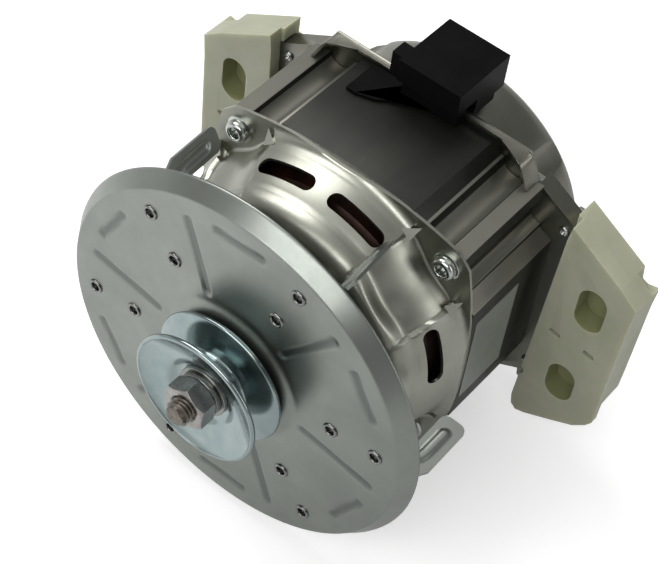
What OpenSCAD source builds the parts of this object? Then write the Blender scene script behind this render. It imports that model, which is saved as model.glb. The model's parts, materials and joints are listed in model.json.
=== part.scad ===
// Belt drive motor of a washing machine: a square stamped motor with an outside fan and a belt pulley.
// The shaft runs along Y. The pulley end points to -Y and the plug housing is on top, at +Z.
// The origin is on the shaft axis, in the middle plane of the belt.
// Angles run from +X towards +Z, as seen from the pulley end.

/* [Pulley] */
// Outer radius of the front pulley half
pulley_front_r = 27.5; // [24:0.5:31]
// Outer radius of the rear pulley half
pulley_rear_r = 28; // [24:0.5:31]
// Width over the two pulley rims
pulley_w = 14; // [12:0.5:17]
// Radius of the bottom of the belt groove
groove_r = 14.5; // [13:0.25:16]
// Distance from the belt plane to the front edge of the groove bottom
groove_lip_y = 3; // [2.8:0.1:3.6]
// Sheet thickness of the pulley halves
pulley_t = 1.2; // [1:0.1:1.4]
// How far the pulley's middle, which the washers press on, lies in front of the belt plane
pulley_web_y = 1.3; // [1:0.1:1.6]

/* [Fan] */
// Outer radius of the fan disc
fan_r = 80; // [76:1:84]
// Width of the rim of the fan disc that bends back
fan_rim_w = 4.6; // [4.4:0.2:10]
// How far the rim of the fan disc bends back
fan_rim_depth = 7.1; // [5:0.1:9]
// Distance from the belt plane to the flat front face of the fan disc
fan_face_y = 11.8; // [11:0.1:14]
// Sheet thickness of the fan disc
fan_t = 1.2; // [1:0.1:1.5]
// Outer radius of the raised middle of the fan disc
fan_boss_r = 30; // [28:0.5:33]
// Radius of the flat seat in the raised middle
fan_seat_r = 12.6; // [11:0.1:12.8]
// Number of fan blades
blade_count = 6; // [4:1:8]
// Angle of the rivet pair of the first blade
blade_angle = 7.3; // [0:0.1:15]
// Radius of the inner rivets
rivet_in_r = 46.3; // [44:0.1:50]
// Distance of the outer rivets from the edge of the fan disc
rivet_inset = 14.2; // [13:0.1:18]
// Radius of the hole in a tubular rivet
rivet_bore_r = 1.8; // [1.5:0.1:2]
// Radius of the rolled head of a tubular rivet
rivet_head_r = 3.1; // [2.8:0.1:3.5]
// Sheet thickness of the blades
blade_t = 1.2; // [1:0.1:1.4]
// Half width of a blade foot
foot_half_w = 5; // [4.2:0.1:5.5]
// Radius of the inner end of a blade
blade_in_r = 40; // [38:0.5:42]
// Width of the blade's rear arm
blade_arm_w = 10.2; // [8.5:0.1:11]
// How far a blade reaches past the edge of the fan disc
blade_over = 0.5; // [-2:0.5:2]
// Height of the blade along the shaft, near the disc
blade_low_h = 13; // [9:0.5:14]
// Height of the blade's rear arm along the shaft
blade_high_h = 33.5; // [30:0.5:35]

/* [Shaft] */
// Radius of the threaded end
thread_r = 5; // [4.8:0.1:5]
// Distance from the belt plane to the tip of the threaded end
thread_tip_y = 17.8; // [16:0.2:24]
// Radius of the seat that the pulley and the fan sit on
seat_r = 6; // [5.6:0.1:6.6]
// Radius of the shaft in the bearings
journal_r = 8.5; // [8:0.1:9]
// Radius of the shaft under the rotor
rotor_seat_r = 10; // [9.4:0.1:11]
// Thickness of the shaft nut
nut_h = 8; // [6:0.2:9]
// Width across the flats of the shaft nut
nut_af = 17; // [16:0.5:18]
// Thickness of the flat washer
flat_washer_t = 1.6; // [1.2:0.1:2]
// Outer radius of the flat washer
flat_washer_r = 10.5; // [9.5:0.1:11.5]
// Thickness of the spring washer
lock_washer_t = 2.2; // [1.8:0.1:2.5]
// Outer radius of the spring washer
lock_washer_r = 9; // [8.6:0.1:9.4]

/* [Bearings] */
// Outer radius of the ball bearings
bearing_r = 20; // [19:0.5:21]
// Width of the ball bearings
bearing_w = 12; // [11:0.5:12.5]
// Radius of the bearing balls
ball_r = 3.25; // [3:0.05:3.4]
// Number of balls in a bearing
ball_count = 8; // [6:1:9]
// Distance from the belt plane to the front bearing
front_bearing_y = 32; // [31.5:0.5:35]
// Outer radius of the spacer sleeve
sleeve_r = 11; // [10.2:0.1:11.2]

/* [Front end cap] */
// Sheet thickness of the end caps
cap_t = 1.2; // [1:0.1:1.5]
// Distance from the belt plane to the back of the front cap's flange
core_front_y = 69.6; // [69:0.2:71]
// Half width of the front flange at mid side
flange_half_w = 63; // [62.8:0.1:64]
// Radius of the slightly bulged sides of the front flange
side_r = 190; // [170:5:220]
// Radius to the corners of the front flange
flange_corner_r = 75.5; // [75:0.1:76.5]
// Radius of the front bowl at its flange
bowl_r = 62; // [61.4:0.1:62.4]
// Depth of the front bowl
bowl_depth = 31.6; // [31:0.2:32.4]
// How much the front bowl narrows before its shoulder
bowl_taper = 6; // [5:0.25:7]
// Radius of the shoulder of the front bowl
bowl_round = 10; // [8:0.5:11]
// Radius of the fillet between the front bowl and its flange
bowl_fillet = 5; // [4:0.25:5.5]
// Distance from the axis to the flat dents in the corners of the front bowl
dent_r = 57.4; // [57:0.1:58]
// Half width of the dents in the corners of the front bowl
dent_half_w = 16; // [15:0.5:17]
// Length of a vent slot
vent_len = 25; // [20:0.5:26]
// Width of a vent slot
vent_w = 6.2; // [5:0.1:7.5]
// Angle of a vent slot from mid side
vent_angle = 15.4; // [14:0.1:18]
// Distance from the vent slots to the back of the front flange
vent_inset = 14.2; // [12.5:0.1:15]
// Distance of the through bolts from the shaft axis, in X and in Z
bolt_xz = 47.2; // [46.8:0.1:47.6]

/* [Stator] */
// Length of the stator core
core_len = 49; // [46:0.5:50]
// Half width of the stator core
core_half_w = 61.2; // [60.5:0.1:61.5]
// Half width of the flat side of the stator core
core_flat = 30; // [28:0.5:31]
// Distance from the axis to the step beside the flat side
core_step = 55.2; // [54:0.2:56]
// Distance from the axis to the outer faces of the corner lobes
lobe_half_w = 53; // [52.6:0.1:53.2]
// Radius of the grooves beside the corner lobes
core_groove_r = 6; // [5:0.2:6.4]
// Distance of the groove's centre from mid side
core_groove_x = 40.6; // [40:0.1:41]
// Radius of the stator bore
core_bore_r = 34.5; // [33:0.1:35]
// Number of slots in the stator core
slot_count = 24; // [18:6:30]
// Radius to the bottom of a slot
slot_out_r = 49; // [47:0.5:50]
// Radius of the rotor
rotor_r = 34.1; // [32.5:0.1:34.2]
// Length of the winding heads beyond the core
winding_len = 13; // [11:0.5:14]

/* [Rear end cap] */
// Radius of the rear bowl at its flange
rear_bowl_r = 60.6; // [60:0.1:60.8]
// Radius of the rear bowl at its back
rear_back_r = 58.8; // [57.5:0.1:59.5]
// Depth of the rear bowl behind its flange
rear_bowl_depth = 32; // [31:0.5:33]
// Half height of the rear flange
rear_half_h = 64; // [63.4:0.1:64.4]
// Half width of the top edge of the rear flange
rear_top_x = 44.4; // [44:0.1:45]
// Half width over the ears of the rear flange
ear_x = 75; // [74:0.2:76]
// How far the lips of the ears bend back
lip_len = 6.4; // [5:0.2:6.6]
// How far the corner tabs of the rear cap reach over the core
tab_len = 7; // [6:0.5:9]
// Radius of the middle line of the curved slots in the back of the rear bowl
rear_vent_r = 42.5; // [40:0.5:43.5]
// Width of the curved slots in the back of the rear bowl
rear_vent_w = 7; // [5:0.5:8]

/* [Mount blocks] */
// Thickness of the mount blocks
block_t = 16; // [15:0.5:17]
// Distance from the front of a block to the ear of the rear flange
block_front = 6.1; // [5:0.1:7]
// Depth of the notch above the lug, from the back of a block
block_notch_depth = 5; // [3:0.5:8]
// Radius of the screws that hold the blocks
block_screw_r = 1.5; // [1.3:0.1:1.6]
// Distance of the block screws from the shaft axis, in X
block_screw_x = 65; // [64.6:0.1:65.4]
// Distance of the block screws from the shaft axis, in Z
block_screw_z = 38; // [37.4:0.1:38.4]
// Length of the upper oval pocket in a block
block_pocket_len = 21; // [18:0.5:22]
// Width of the oval pockets in the blocks
block_pocket_w = 12; // [10:0.5:13]
// Depth of the oval pockets in the blocks
block_pocket_depth = 9; // [7:0.5:11]

/* [Plug housing] */
// Width of the plug housing
plug_w = 27.4; // [26:0.2:29]
// Length of the plug housing along the shaft
plug_len = 30.5; // [30:0.5:31.5]
// Height of the plug housing over its rear part
plug_h = 15; // [14:0.5:16]
// Height of the front part of the plug housing
plug_front_h = 9.8; // [9:0.2:10.4]
// Wall of the plug housing
plug_wall = 1.8; // [1.5:0.1:2.2]
// Distance of the plug housing's middle from the shaft axis
plug_x = 4.2; // [2:0.2:6]
// Number of contact pins in the plug housing
pin_count = 6; // [4:1:7]

/* [Blank plate] */
// Length of the blank plate along the shaft
label_len = 26; // [20:1:34]
// Height of the blank plate
label_h = 44; // [36:1:46]
// Thickness of the blank plate
label_t = 0.25; // [0.2:0.05:0.4]

/* [Hidden] */
$fn = 96;

slip = 0.05;
gap = 0.3;
chamfer = 0.9;
pulley_edge = pulley_w / 2;
bolt_r = 2.5;
bolt_head_r = 4.6;
bolt_head_h = 4.2;
race_t = 3.6;
pitch_r = (bearing_r + journal_r) / 2;
groove_slack = 0.1;
hub_wall = 1.6;
flange_y = core_front_y - cap_t;
bowl_front_y = core_front_y - bowl_depth;
vent_y = core_front_y - vent_inset;
core_back_y = core_front_y + core_len;
rear_flange_y = core_back_y + cap_t;
block_y = core_back_y - block_front;
ear_slope = 0.57;
plug_y = core_back_y - 10.8;
plug_foot_h = 3.8;
plug_floor_z = max(rear_half_h + 1.4, rear_bowl_r + plug_foot_h + 1);
fan_hub_y = 2 * pulley_t - pulley_web_y;
front_race_end_y = front_bearing_y + bearing_w;
wave_t = 1.2;
rear_bearing_y = rear_flange_y + rear_bowl_depth - cap_t - wave_t - bearing_w;
nut_back_y = -pulley_web_y - flat_washer_t - lock_washer_t;
end_ring_len = 9;
fan_crease_r = fan_r - fan_rim_w;
rivet_out_r = fan_r - rivet_inset;
blade_out_r = fan_r + blade_over;
blade_arm_in_r = blade_out_r - blade_arm_w;
leaf_in_r = rivet_in_r + rivet_head_r + gap;
block_screw_head_r = block_screw_r + 0.7;
blade_tilt = 9.6;
blade_pitch_lean = 4;
blade_offset = 5.5;

// Turns its children by an angle round the shaft axis, from +X towards +Z.
module at_angle(a) {
  rotate([0, -a, 0]) children();
}

// A solid of revolution round the shaft axis, from points [radius, y].
module turned(points) {
  rotate([-90, 0, 0]) rotate_extrude() polygon(points);
}

// A round bar or disc along the shaft axis.
module bar(r, y0, y1) {
  translate([0, y0, 0]) rotate([-90, 0, 0]) cylinder(h = y1 - y0, r = r);
}

// A ring along the shaft axis.
module ring(r_in, r_out, y0, y1) {
  turned([[r_in, y0], [r_out, y0], [r_out, y1], [r_in, y1]]);
}

// A flat plate between two distances along the shaft, from an outline in X and Z.
module plate(y0, y1) {
  translate([0, y1, 0]) rotate([90, 0, 0]) linear_extrude(height = y1 - y0) children();
}

// Places its children at the four through bolts.
module at_bolts() {
  for (sx = [-1, 1])
    for (sz = [-1, 1])
      translate([sx * bolt_xz, 0, sz * bolt_xz]) children();
}

// Side profile of the front bowl from its middle to its flange, moved inwards by a wall.
function bowl_profile(wall) =
  let (
    shoulder_r = bowl_r - bowl_taper - bowl_round,
    r = bowl_round - wall,
    side = [for (k = [1:6]) let (u = k / 6) [
      bowl_r - bowl_taper + bowl_taper * (2 * u - u * u) - wall,
      bowl_front_y + bowl_round + (flange_y - bowl_front_y - bowl_round) * u
    ]]
  )
  concat(
    [[0, bowl_front_y + wall]],
    [for (a = [0:10:90]) [shoulder_r + r * sin(a), bowl_front_y + bowl_round - r * cos(a)]],
    side
  );

// Front bowl as one filled form, with flat dents in its corners.
module bowl_form(wall) {
  side = bowl_profile(wall);
  difference() {
    turned(concat(side, [[0, side[len(side) - 1][1]]]));
    for (a = [45:90:315]) at_angle(a)
      translate([dent_r - wall, bowl_front_y - 1, -dent_half_w - wall])
        cube([20, bowl_depth, 2 * (dent_half_w + wall)]);
  }
}

// Fillet between the front bowl and its flange, cut off by the dents and by the flange's outline.
module bowl_flare() {
  f = bowl_fillet;
  curve = [for (a = [0:15:90]) [bowl_r + f - f * cos(a), flange_y - f + f * sin(a)]];
  intersection() {
    difference() {
      turned(concat([[bowl_r - 1, flange_y - f], [bowl_r - 1, flange_y]], [for (k = [6:-1:0]) curve[k]]));
      for (a = [45:90:315]) at_angle(a)
        translate([dent_r - 5, flange_y - f - 1, -dent_half_w]) cube([30, f + 2, 2 * dent_half_w]);
    }
    plate(flange_y - f - 1, flange_y) front_flange_outline();
  }
}

// Outline of the front flange.
module front_flange_outline() {
  intersection() {
    circle(r = flange_corner_r, $fn = 180);
    flange_side(0);
    flange_side(90);
    flange_side(180);
    flange_side(270);
  }
}

module flange_side(a) {
  rotate(a) translate([0, flange_half_w - side_r]) circle(r = side_r, $fn = 180);
}

// Holes for the through bolts, between two distances along the shaft.
module bolt_holes(y0, y1) {
  at_bolts() bar(bolt_r + 0.3, y0, y1);
}

// A long round-ended shape along X.
module capsule(len, w) {
  half = (len - w) / 2;
  square([2 * half, w], center = true);
  translate([half, 0]) circle(r = w / 2);
  translate([-half, 0]) circle(r = w / 2);
}

// Front end cap: a deep drawn round bowl with a square flange, vents, dents for the bolts and a bearing hub.
module front_end_cap() {
  hub_front_y = front_bearing_y - cap_t;
  hub_out_r = bearing_r + slip + hub_wall;
  color([0.78, 0.77, 0.72]) difference() {
    union() {
      difference() {
        bowl_form(0);
        bowl_form(cap_t);
        bar(hub_out_r - 0.5, bowl_front_y - 1, bowl_front_y + 3);
      }
      bowl_flare();
      ring(bearing_r + slip, hub_out_r, hub_front_y, front_race_end_y);
      ring(bearing_r - race_t - 1, hub_out_r, hub_front_y, front_bearing_y);
      difference() {
        plate(flange_y, core_front_y) front_flange_outline();
        difference() {
          bar(bowl_r - cap_t, flange_y - 1, core_front_y + 1);
          for (a = [45:90:315]) at_angle(a)
            translate([dent_r - cap_t, flange_y - 2, -dent_half_w - cap_t])
              cube([20, 5, 2 * (dent_half_w + cap_t)]);
        }
      }
    }
    bolt_holes(flange_y - 2, core_front_y + 1);
    for (a = [0:90:270])
      for (side = [-1, 1])
        at_angle(a + side * vent_angle) translate([bowl_r - 14, vent_y, 0]) rotate([0, 90, 0])
          linear_extrude(height = 20) capsule(vent_len, vent_w);
  }
}

// Outline of the stator core, as cuts from a square.
module core_outline() {
  difference() {
    square(2 * core_half_w, center = true);
    for (a = [0:90:270]) rotate(a) core_corner_cut();
    for (a = [0:90:270]) rotate(a) mirror([1, -1]) core_corner_cut();
  }
}

// Cuts on the upper side of one corner: a slanted step, a round groove and the lobe's outer face.
module core_corner_cut() {
  far = core_half_w + 2;
  polygon([
    [core_flat, core_half_w], [core_flat + 3.2, core_step], [core_groove_x, core_step],
    [core_groove_x, lobe_half_w], [far, lobe_half_w], [far, far], [core_flat, far]
  ]);
  translate([core_groove_x, core_step]) circle(r = core_groove_r);
}

// Slots of the stator core, or the coil sides that fill them when shrunk.
module slot_outlines(shrink) {
  for (k = [0:slot_count - 1])
    rotate(k * 360 / slot_count) polygon([
      [core_bore_r + 2, -1.6 + shrink], [slot_out_r - 1 - shrink, -3.2 + shrink],
      [slot_out_r - shrink, -2.2 + shrink], [slot_out_r - shrink, 2.2 - shrink],
      [slot_out_r - 1 - shrink, 3.2 - shrink], [core_bore_r + 2, 1.6 - shrink]
    ]);
}

// Stator core: a stack of laminations with slots for the winding.
module stator_core() {
  color([0.42, 0.41, 0.37]) difference() {
    plate(core_front_y, core_back_y) difference() {
      core_outline();
      circle(r = core_bore_r, $fn = 180);
      slot_outlines(0);
      for (k = [0:slot_count - 1])
        rotate(k * 360 / slot_count) translate([core_bore_r - 1, -0.9]) square([4, 1.8]);
    }
    bolt_holes(core_front_y - 1, core_back_y + 1);
  }
}

// One winding head: a rounded ring of copper beyond the end of the core.
module winding_head(y0, side) {
  rise = winding_len;
  in_r = core_bore_r + 3;
  out_r = slot_out_r + 3;
  y_end = y0 + side * rise;
  y_mid = y0 + side * (rise - 4);
  turned([
    [in_r, y0], [in_r, y_mid], [in_r + 3, y_end], [out_r - 4, y_end], [out_r, y_mid], [out_r, y0]
  ]);
}

// Stator winding: both winding heads and the coil sides in the slots, as one piece.
module stator_winding() {
  color([0.72, 0.38, 0.2]) union() {
    winding_head(core_front_y - gap, -1);
    winding_head(core_back_y + gap, 1);
    plate(core_front_y - 1, core_back_y + 1) difference() {
      slot_outlines(gap);
      circle(r = core_bore_r + 3.2);
    }
  }
}

// Through bolts: round heads with a driver recess in the front, thread ends in the rear.
module through_bolts() {
  seat_y = flange_y;
  color([0.85, 0.86, 0.86]) at_bolts() difference() {
    union() {
      turned([
        [0, seat_y - bolt_head_h], [2.6, seat_y - bolt_head_h], [3.9, seat_y - bolt_head_h + 0.9],
        [bolt_head_r, seat_y - 1.4], [bolt_head_r, seat_y - 0.9], [5.6, seat_y - 0.8], [5.6, seat_y], [0, seat_y]
      ]);
      bar(bolt_r, seat_y - 1, rear_flange_y + 5.5);
    }
    bar(1.9, seat_y - bolt_head_h - 1, seat_y - bolt_head_h + 2.2);
  }
}

// Flanged hexagon nuts on the rear ends of the through bolts.
module bolt_nuts() {
  y0 = rear_flange_y;
  color([0.8, 0.8, 0.78]) at_bolts() difference() {
    union() {
      translate([0, y0 + 0.8, 0]) rotate([-90, 0, 0]) cylinder(h = 3.6, r = 4.6, $fn = 6);
      bar(5.2, y0, y0 + 1);
    }
    bar(bolt_r + slip, y0 - 1, y0 + 6);
  }
}

// Outer race of a ball bearing.
module outer_race(y0) {
  difference() {
    ring(bearing_r - race_t, bearing_r, y0, y0 + bearing_w);
    ball_groove(y0);
  }
}

// Inner race of a ball bearing.
module inner_race(y0) {
  difference() {
    ring(journal_r + slip, journal_r + race_t, y0, y0 + bearing_w);
    ball_groove(y0);
  }
}

// Ring-shaped room for the balls.
module ball_groove(y0) {
  translate([0, y0 + bearing_w / 2, 0]) rotate([-90, 0, 0])
    rotate_extrude() translate([pitch_r, 0]) circle(r = ball_r + groove_slack, $fn = 48);
}

module balls(y0) {
  for (k = [0:ball_count - 1])
    at_angle(k * 360 / ball_count) translate([pitch_r, y0 + bearing_w / 2, 0]) sphere(r = ball_r, $fn = 48);
}

// Ball cage: a ring with a round pocket for each ball.
module cage(y0) {
  mid = y0 + bearing_w / 2;
  difference() {
    ring(pitch_r - 1.3, pitch_r + 1.3, mid - 4.2, mid + 4.2);
    for (k = [0:ball_count - 1])
      at_angle(k * 360 / ball_count) translate([pitch_r - 5, mid, 0]) rotate([0, 90, 0])
        cylinder(h = 10, r = ball_r + groove_slack);
  }
}

module front_bearing_outer_race() { color([0.62, 0.63, 0.65]) outer_race(front_bearing_y); }
module front_bearing_inner_race() { color([0.62, 0.63, 0.65]) inner_race(front_bearing_y); }
module front_bearing_balls() { color([0.8, 0.8, 0.82]) balls(front_bearing_y); }
module front_bearing_cage() { color([0.7, 0.6, 0.35]) cage(front_bearing_y); }
module rear_bearing_outer_race() { color([0.62, 0.63, 0.65]) outer_race(rear_bearing_y); }
module rear_bearing_inner_race() { color([0.62, 0.63, 0.65]) inner_race(rear_bearing_y); }
module rear_bearing_balls() { color([0.8, 0.8, 0.82]) balls(rear_bearing_y); }
module rear_bearing_cage() { color([0.7, 0.6, 0.35]) cage(rear_bearing_y); }

// Spring ring that loads the rear bearing from behind.
module wave_washer() {
  y0 = rear_bearing_y + bearing_w;
  color([0.5, 0.52, 0.55]) turned([
    [bearing_r - 3.4, y0], [bearing_r - 2.6, y0], [bearing_r - 0.4, y0 + wave_t], [bearing_r - 1.2, y0 + wave_t]
  ]);
}

// Shaft with a threaded end, a stepped seat and two journals.
module shaft() {
  tip = -thread_tip_y;
  relief_y = nut_back_y - nut_h;
  seat_front_y = -pulley_web_y + 0.3;
  seat_back_y = fan_hub_y + fan_t;
  rotor_front_y = core_front_y - end_ring_len - 2;
  rotor_back_y = core_back_y + end_ring_len + 2;
  end_y = rear_bearing_y + bearing_w;
  color([0.5, 0.46, 0.4]) turned([
    [0, tip], [thread_r - chamfer, tip], [thread_r, tip + chamfer],
    [thread_r, relief_y], [thread_r - 0.4, relief_y + 0.1], [thread_r - 0.4, relief_y + 0.7],
    [thread_r, relief_y + 0.8], [thread_r, seat_front_y], [seat_r, seat_front_y],
    [seat_r, seat_back_y], [journal_r, seat_back_y], [journal_r, rotor_front_y],
    [rotor_seat_r, rotor_front_y], [rotor_seat_r, rotor_back_y], [journal_r, rotor_back_y],
    [journal_r, end_y - 0.8], [journal_r - 0.8, end_y], [0, end_y]
  ]);
}

// Rotor core: a stack of laminations on the shaft.
module rotor_core() {
  color([0.45, 0.44, 0.42]) ring(rotor_seat_r + slip, rotor_r, core_front_y, core_back_y);
}

// Cast end ring of the rotor cage with small cooling fins, growing away from the core.
module end_ring(y0, side) {
  y_ring = y0 + side * 5;
  y_fin = y0 + side * end_ring_len;
  ring(21, rotor_r - 0.5, min(y0, y_ring), max(y0, y_ring));
  for (k = [0:11])
    at_angle(k * 30) translate([23, min(y0, y_fin), -1]) cube([9, end_ring_len, 2]);
}

module front_end_ring() { color([0.75, 0.76, 0.77]) end_ring(core_front_y, -1); }
module rear_end_ring() { color([0.75, 0.76, 0.77]) end_ring(core_back_y, 1); }

// Sleeve between the fan disc and the front bearing.
module spacer_sleeve() {
  color([0.68, 0.69, 0.7]) ring(journal_r + slip, sleeve_r, fan_hub_y + fan_t, front_bearing_y);
}

// Fan disc: a flat sheet with a raised middle that clears the pulley and a rim that bends back.
module fan_disc() {
  f = fan_face_y;
  h = fan_hub_y;
  t = fan_t;
  step_r = fan_seat_r + 0.4;
  step_y = groove_lip_y + pulley_t + 0.7;
  color([0.7, 0.72, 0.72]) difference() {
    turned([
      [seat_r + slip, h], [fan_seat_r, h], [step_r, step_y], [fan_boss_r, f], [fan_crease_r, f],
      [fan_r, f + fan_rim_depth - t], [fan_r, f + fan_rim_depth], [fan_r - t, f + fan_rim_depth],
      [fan_crease_r - 0.5, f + t], [fan_boss_r - 0.6, f + t], [step_r - t + 0.05, step_y + 0.95],
      [fan_seat_r - t, h + t], [seat_r + slip, h + t]
    ]);
    at_rivets() bar(rivet_bore_r + 0.5, f - 1, f + t + 1);
  }
}

// Places its children at both rivets of each blade.
module at_rivets() {
  for (k = [0:blade_count - 1])
    at_angle(blade_angle + k * 360 / blade_count)
      for (r = [rivet_in_r, rivet_out_r]) translate([r, 0, 0]) children();
}

// One blade: a foot under the disc and a leaf that stands up behind it and reaches back at the rim.
module blade() {
  y0 = fan_face_y + fan_t;
  turn_r = rivet_out_r - 1.8;
  foot_out_r = rivet_out_r + foot_half_w + 0.5;
  difference() {
    translate([0, y0 + blade_t, 0]) rotate([90, 0, 0]) linear_extrude(height = blade_t) polygon([
      [blade_in_r, 1 - foot_half_w], [leaf_in_r, 0.8 - foot_half_w], [foot_out_r, -blade_offset - 1.6],
      [foot_out_r, foot_half_w - 1], [foot_out_r - 1, foot_half_w], [blade_in_r + 1, foot_half_w],
      [blade_in_r, foot_half_w - 1]
    ]);
    for (r = [rivet_in_r, rivet_out_r]) translate([r, 0, 0]) bar(rivet_bore_r + 0.5, y0 - 1, y0 + blade_t + 1);
  }
  translate([turn_r, y0, -blade_offset]) rotate([blade_pitch_lean, blade_tilt, 0])
    translate([-turn_r, 0, -blade_t / 2]) linear_extrude(height = blade_t) blade_leaf();
}

// Outline of the standing leaf of a blade: X is the radius and Y runs back along the shaft.
module blade_leaf() {
  c = min(3, (blade_out_r - blade_arm_in_r) / 2 - 0.1);
  top = blade_high_h;
  low = blade_low_h;
  polygon([
    [leaf_in_r, 0.4], [fan_crease_r - 1.8, 0.4], [fan_r - 3.2, fan_rim_depth - fan_t],
    [fan_r - 1.5, fan_rim_depth], [blade_out_r, fan_rim_depth + 3.4], [blade_out_r, top - c],
    [blade_out_r - 0.3 * c, top - 0.3 * c], [blade_out_r - c, top], [blade_arm_in_r + c, top],
    [blade_arm_in_r + 0.3 * c, top - 0.3 * c], [blade_arm_in_r, top - c], [blade_arm_in_r, low + 3],
    [blade_arm_in_r - 3, low], [leaf_in_r + 4, low], [leaf_in_r, low - 5]
  ]);
}

// Fan blades: one bent sheet for each rivet pair.
module fan_blades() {
  color([0.6, 0.62, 0.63]) for (k = [0:blade_count - 1])
    at_angle(blade_angle + k * 360 / blade_count) blade();
}

// Tubular rivets that hold the blades to the disc.
module blade_rivets() {
  f = fan_face_y;
  back_y = f + fan_t + blade_t;
  color([0.82, 0.83, 0.82]) at_rivets() turned([
    [rivet_bore_r, f - 0.3], [rivet_bore_r + 0.3, f - 0.7], [rivet_head_r - 0.5, f - 0.7],
    [rivet_head_r, f], [rivet_bore_r + 0.45, f], [rivet_bore_r + 0.45, back_y],
    [rivet_head_r, back_y], [rivet_head_r, back_y + 0.6], [rivet_bore_r, back_y + 0.6]
  ]);
}

// Front half of the pulley: a shallow cup with a wide front flank.
module pulley_front_half() {
  color([0.72, 0.77, 0.8]) mirror([0, 1, 0]) pulley_half(pulley_web_y - pulley_t, pulley_front_r);
}

// Rear half of the pulley: lies against the front half, middle to middle.
module pulley_rear_half() {
  color([0.72, 0.77, 0.8]) pulley_half(pulley_t - pulley_web_y, pulley_rear_r);
}

// A pulley half that opens towards +Y: flat middle, short cup wall, flank and rolled rim.
module pulley_half(web_y, rim_r) {
  t = pulley_t;
  e = pulley_edge;
  in_r = groove_r - t;
  turned([
    [seat_r + slip, web_y], [groove_r, web_y], [groove_r, groove_lip_y - 0.1], [rim_r - 1, e - t],
    [rim_r - 0.2, e - 0.9], [rim_r, e - 0.4], [rim_r - 0.1, e + 0.1], [rim_r - 0.6, e + 0.4],
    [rim_r - 1.8, e], [in_r, groove_lip_y + t - 0.3], [in_r, web_y + t], [seat_r + slip, web_y + t]
  ]);
}

// Flat washer on the pulley's middle.
module flat_washer() {
  y1 = -pulley_web_y;
  color([0.75, 0.78, 0.8]) ring(thread_r + 0.3, flat_washer_r, y1 - flat_washer_t, y1);
}

// Spring washer with its gap.
module spring_washer() {
  y1 = -pulley_web_y - flat_washer_t;
  y0 = y1 - lock_washer_t;
  color([0.7, 0.73, 0.76]) difference() {
    ring(thread_r + 0.2, lock_washer_r, y0, y1);
    at_angle(-110) rotate([12, 0, 0]) translate([0, y0 - 2, -0.6]) cube([12, 7, 1.2]);
  }
}

// Hexagon nut on the threaded end, chamfered at both faces.
module shaft_nut() {
  y1 = nut_back_y;
  y0 = y1 - nut_h;
  corner_r = nut_af / sqrt(3);
  color([0.55, 0.51, 0.45]) difference() {
    intersection() {
      at_angle(27) translate([0, y0, 0]) rotate([-90, 0, 0]) cylinder(h = nut_h, r = corner_r, $fn = 6);
      turned([
        [0, y0], [nut_af / 2 - 0.2, y0], [corner_r + 0.3, y0 + 1.2], [corner_r + 0.3, y1 - 1.2],
        [nut_af / 2 - 0.2, y1], [0, y1]
      ]);
    }
    bar(thread_r + slip, y0 - 1, y1 + 1);
    turned([[0, y0 - 0.1], [thread_r + 1, y0 - 0.1], [thread_r - 0.1, y0 + 1], [0, y0 + 1]]);
  }
}

// Height of the slanted edge of the rear flange's ears at a distance from mid side.
function ear_z(x) = rear_half_h - 10.8 - ear_slope * (x - rear_top_x - 5.5);

// Outline of the rear flange.
module rear_flange_outline() {
  x1 = rear_top_x;
  x2 = rear_top_x + 5.5;
  h = rear_half_h;
  q = [[x1, h], [x2, ear_z(x2)], [ear_x, ear_z(ear_x)]];
  polygon([
    q[0], q[1], q[2], [q[2][0], -q[2][1]], [q[1][0], -q[1][1]], [q[0][0], -q[0][1]],
    [-q[0][0], -q[0][1]], [-q[1][0], -q[1][1]], [-q[2][0], -q[2][1]], [-q[2][0], q[2][1]],
    [-q[1][0], q[1][1]], [-q[0][0], q[0][1]]
  ]);
}

// Draws its child in all four corners.
module four_ways() {
  for (sx = [0, 1])
    for (sz = [0, 1])
      mirror([sx, 0, 0]) mirror([0, 0, sz]) children();
}

// Lip along the slanted edge of an ear, bent back, with a slanted end.
module ear_lip() {
  x1 = rear_top_x + 6.2;
  x2 = ear_x - 1;
  x3 = ear_x - 7;
  t = 1.4;
  intersection() {
    plate(core_back_y, rear_flange_y + lip_len) polygon([
      [x1, ear_z(x1)], [x2, ear_z(x2)], [x2, ear_z(x2) - t], [x1, ear_z(x1) - t]
    ]);
    translate([0, 0, -80]) linear_extrude(height = 160) polygon([
      [x1 - 1, core_back_y], [x2, core_back_y], [x2, rear_flange_y + 0.4], [x3, rear_flange_y + lip_len],
      [x1 - 1, rear_flange_y + lip_len]
    ]);
  }
}

// Tab that reaches forward over a corner groove of the core.
module corner_tab() {
  x1 = rear_top_x;
  x2 = rear_top_x + 5.5;
  h = rear_half_h;
  y = core_back_y;
  intersection() {
    plate(y - tab_len - 1, y + 0.2) polygon([
      [33, h - cap_t], [33, h], [x1 - 2.4, h], [x1 + 0.2, h - 1], [x1 + 1.6, h - 2.9], [x2, h - 10.8],
      [x2 - 1.5, h - 10.7], [x1 + 0.5, h - 3.4], [x1 - 0.6, h - 1.9], [x1 - 2.6, h - cap_t]
    ]);
    linear_extrude(height = h + 1) polygon([
      [32, y + 1], [33, y - 2.4], [36, y - 3.6], [x1 - 1, y - tab_len], [x2 + 1, y - tab_len - 0.6], [x2 + 1, y + 1]
    ]);
  }
}

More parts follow.
